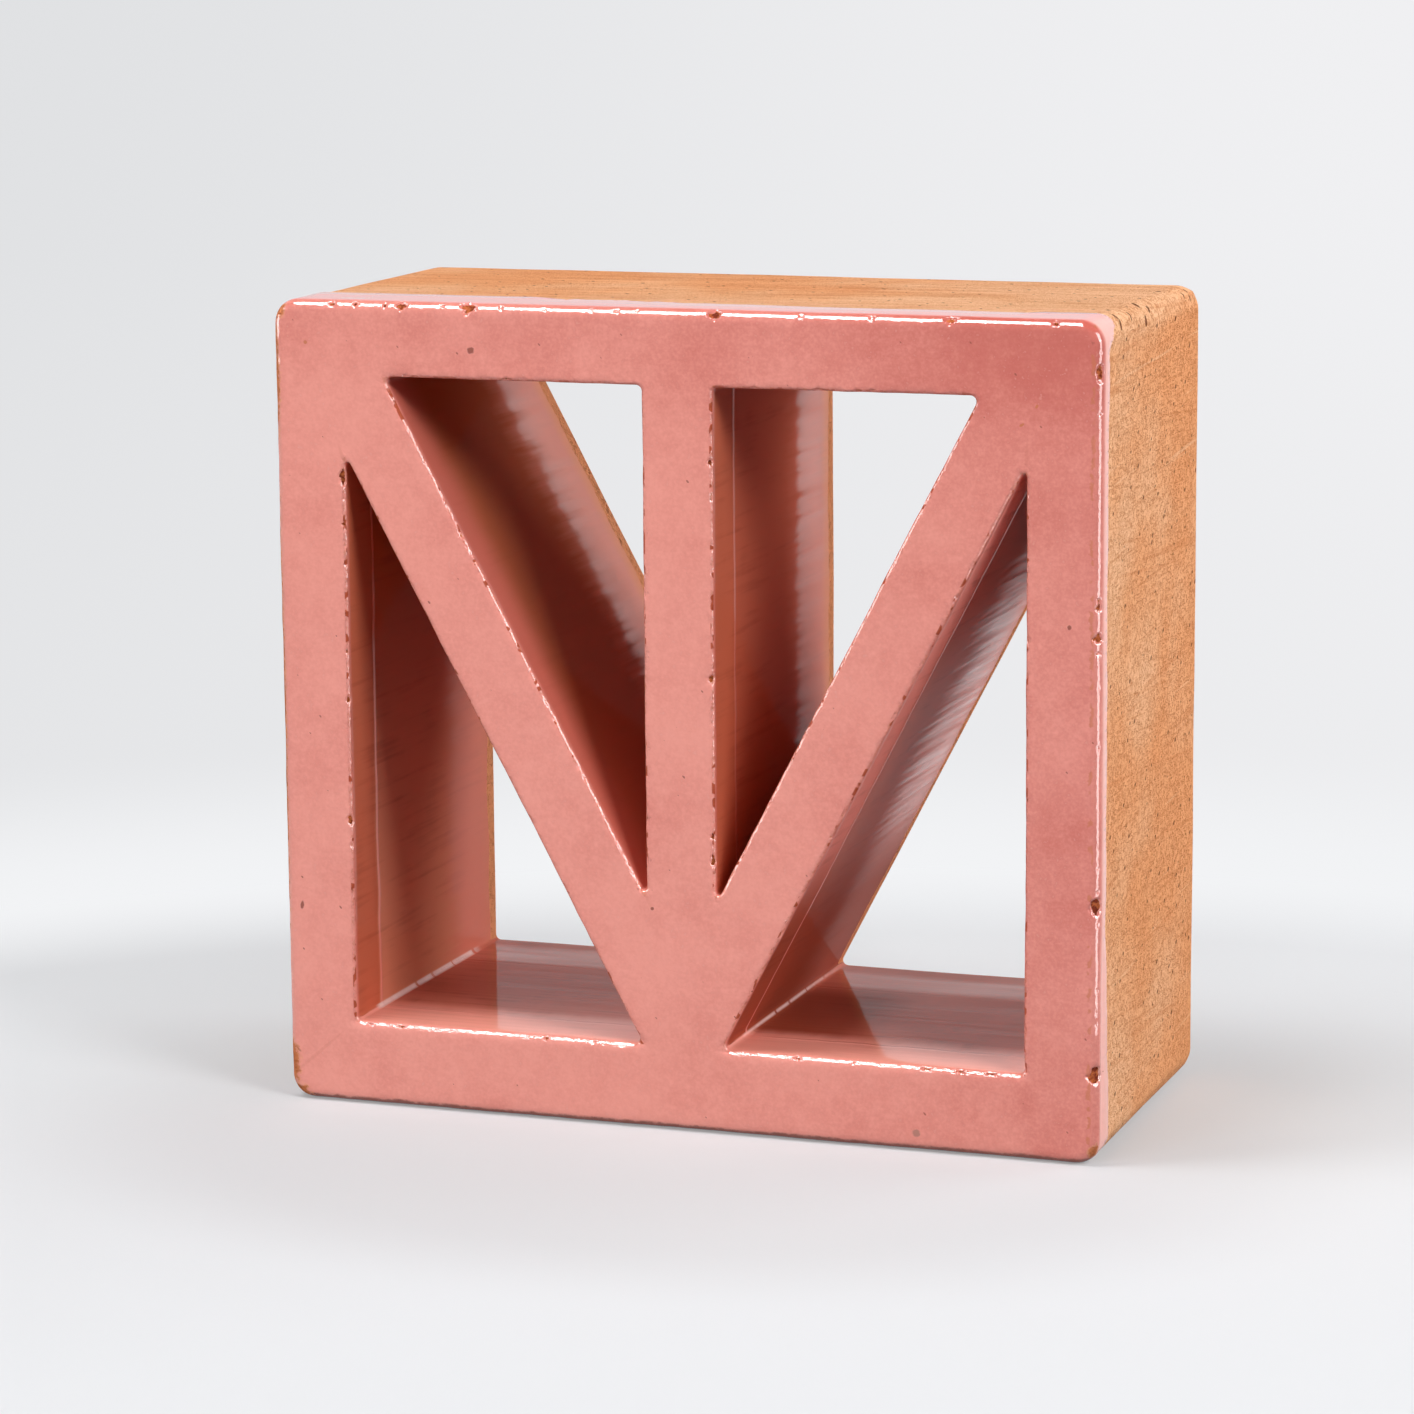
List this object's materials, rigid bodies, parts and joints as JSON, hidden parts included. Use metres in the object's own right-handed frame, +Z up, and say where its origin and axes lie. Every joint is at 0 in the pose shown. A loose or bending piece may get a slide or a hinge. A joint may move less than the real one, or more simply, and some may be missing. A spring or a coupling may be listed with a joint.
{
  "type": "terracotta breeze block",
  "caption": "Square glazed terracotta breeze block, a deep clay frame round a V and an upright centre bar, with four triangular openings for light and air in a screen wall.",
  "frame": {"origin": "middle of the bed face that the block stands on", "axes": "+X to the right across the front, -Y out of the glazed front face, +Z up"},
  "size_m": [0.2, 0.09, 0.192],
  "materials": {
    "glazed_clay": "glossy pink glaze on the front and inside the openings, wrapping about 9 mm onto the outer sides; bare orange terracotta on the rest of the outer sides and on the back"
  },
  "bodies": {
    "root": {"block": "glazed_clay"}
  },
  "joints": []
}
